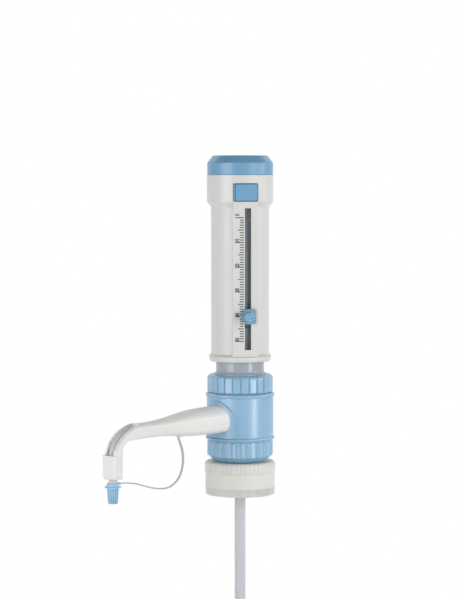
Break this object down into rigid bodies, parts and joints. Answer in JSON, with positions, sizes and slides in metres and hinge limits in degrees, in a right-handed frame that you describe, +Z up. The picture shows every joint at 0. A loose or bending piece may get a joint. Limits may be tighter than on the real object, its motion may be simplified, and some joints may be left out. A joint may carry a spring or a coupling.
{
  "type": "bottle top dispenser",
  "caption": "Upright bottle-top dispenser: scaled housing lifting on a glass cylinder, side pointer with knob, ribbed valve block, screw nut, long discharge arm with capped tip, suction tube.",
  "frame": {"origin": "centre of the rim gasket's underside, where the nut's seal rests on the bottle's rim", "axes": "+Z up along the plunger's axis, the discharge arm points along -X, the front panel faces between -X and -Y"},
  "size_m": [0.1688, 0.0585, 0.4475],
  "materials": {
    "bottle_nut": "satin moulded",
    "rim_gasket": "soft",
    "block_core": "satin machined",
    "valve_block": "satin moulded",
    "lower_collar": "satin moulded",
    "upper_collar": "satin moulded",
    "cylinder_seal": "matt",
    "glass_cylinder": "clear",
    "centring_ring": "satin machined",
    "protective_sleeve": "translucent moulded",
    "stop_ring": "satin moulded",
    "filling_valve": "satin machined",
    "filling_valve_seal": "matt",
    "discharge_valve": "satin machined",
    "discharge_valve_seal": "matt",
    "outlet_spring": "brushed",
    "arm_coupling_nut": "satin machined",
    "arm": "satin moulded",
    "discharge_tube": "translucent",
    "strap_pin": "soft moulded",
    "cap_strap": "soft moulded",
    "filling_tube_upper": "translucent",
    "piston_housing": "gloss moulded",
    "stop_rack": "satin machined",
    "bumper_ring": "satin moulded",
    "top_cap": "satin moulded",
    "calibration_cover": "satin moulded",
    "plunger_rod": "brushed",
    "plunger_head": "satin machined",
    "plunger_seal": "waxy",
    "calibration_nut": "brushed",
    "pointer_plate": "satin moulded",
    "clamp_nut": "satin moulded",
    "pointer_knob": "satin moulded",
    "knob_screw": "brushed",
    "inlet_ball": "polished",
    "outlet_ball": "polished",
    "closure_cap": "satin moulded",
    "filling_tube_lower": "translucent"
  },
  "bodies": {
    "nut": {"bottle_nut": "bottle_nut", "rim_gasket": "rim_gasket"},
    "block": {"block_core": "block_core", "valve_block": "valve_block", "lower_collar": "lower_collar", "upper_collar": "upper_collar", "cylinder_seal": "cylinder_seal", "glass_cylinder": "glass_cylinder", "centring_ring": "centring_ring", "protective_sleeve": "protective_sleeve", "stop_ring": "stop_ring", "filling_valve": "filling_valve", "filling_valve_seal": "filling_valve_seal", "discharge_valve": "discharge_valve", "discharge_valve_seal": "discharge_valve_seal", "outlet_spring": "outlet_spring", "arm_coupling_nut": "arm_coupling_nut", "arm": "arm", "discharge_tube": "discharge_tube", "strap_pin": "strap_pin", "cap_strap": "cap_strap", "filling_tube_upper": "filling_tube_upper"},
    "housing": {"piston_housing": "piston_housing", "stop_rack": "stop_rack", "bumper_ring": "bumper_ring", "top_cap": "top_cap", "calibration_cover": "calibration_cover", "plunger_rod": "plunger_rod", "plunger_head": "plunger_head", "plunger_seal": "plunger_seal", "calibration_nut": "calibration_nut"},
    "pointer": {"pointer_plate": "pointer_plate", "clamp_nut": "clamp_nut"},
    "knob": {"pointer_knob": "pointer_knob", "knob_screw": "knob_screw"},
    "inlet_ball": {"inlet_ball": "inlet_ball"},
    "outlet_ball": {"outlet_ball": "outlet_ball"},
    "closure": {"closure_cap": "closure_cap"},
    "lower_tube": {"filling_tube_lower": "filling_tube_lower"}
  },
  "joints": [
    {"name": "block_swivel", "type": "hinge", "parent": "nut", "child": "block", "pos_m": [0, 0, 0.003], "axis": [0, 0, 1], "continuous": true},
    {"name": "plunger_lift", "type": "slide", "parent": "block", "child": "housing", "axis": [0, 0, 1], "range_m": [0, 0.09417]},
    {"name": "volume_setting", "type": "slide", "parent": "housing", "child": "pointer", "axis": [0, 0, 1], "range_m": [-0.01883, 0.07534]},
    {"name": "knob_turn", "type": "hinge", "parent": "pointer", "child": "knob", "pos_m": [-0.01624, -0.02531, 0.11976], "axis": [-0.5948, -0.8039, 0], "range_deg": [0, 180]},
    {"name": "inlet_ball_lift", "type": "slide", "parent": "block", "child": "inlet_ball", "axis": [0, 0, 1], "range_m": [0, 0.0012]},
    {"name": "outlet_ball_lift", "type": "slide", "parent": "block", "child": "outlet_ball", "axis": [-1, 0, 0], "range_m": [0, 0.0012], "stiffness_N_per_m": 20, "deforming": ["outlet_spring"]},
    {"name": "closure_pull", "type": "slide", "parent": "block", "child": "closure", "axis": [0, 0, -1], "range_m": [0, 0.014]},
    {"name": "filling_tube_telescope", "type": "slide", "parent": "block", "child": "lower_tube", "axis": [0, 0, 1], "range_m": [-0.02, 0.065]}
  ]
}
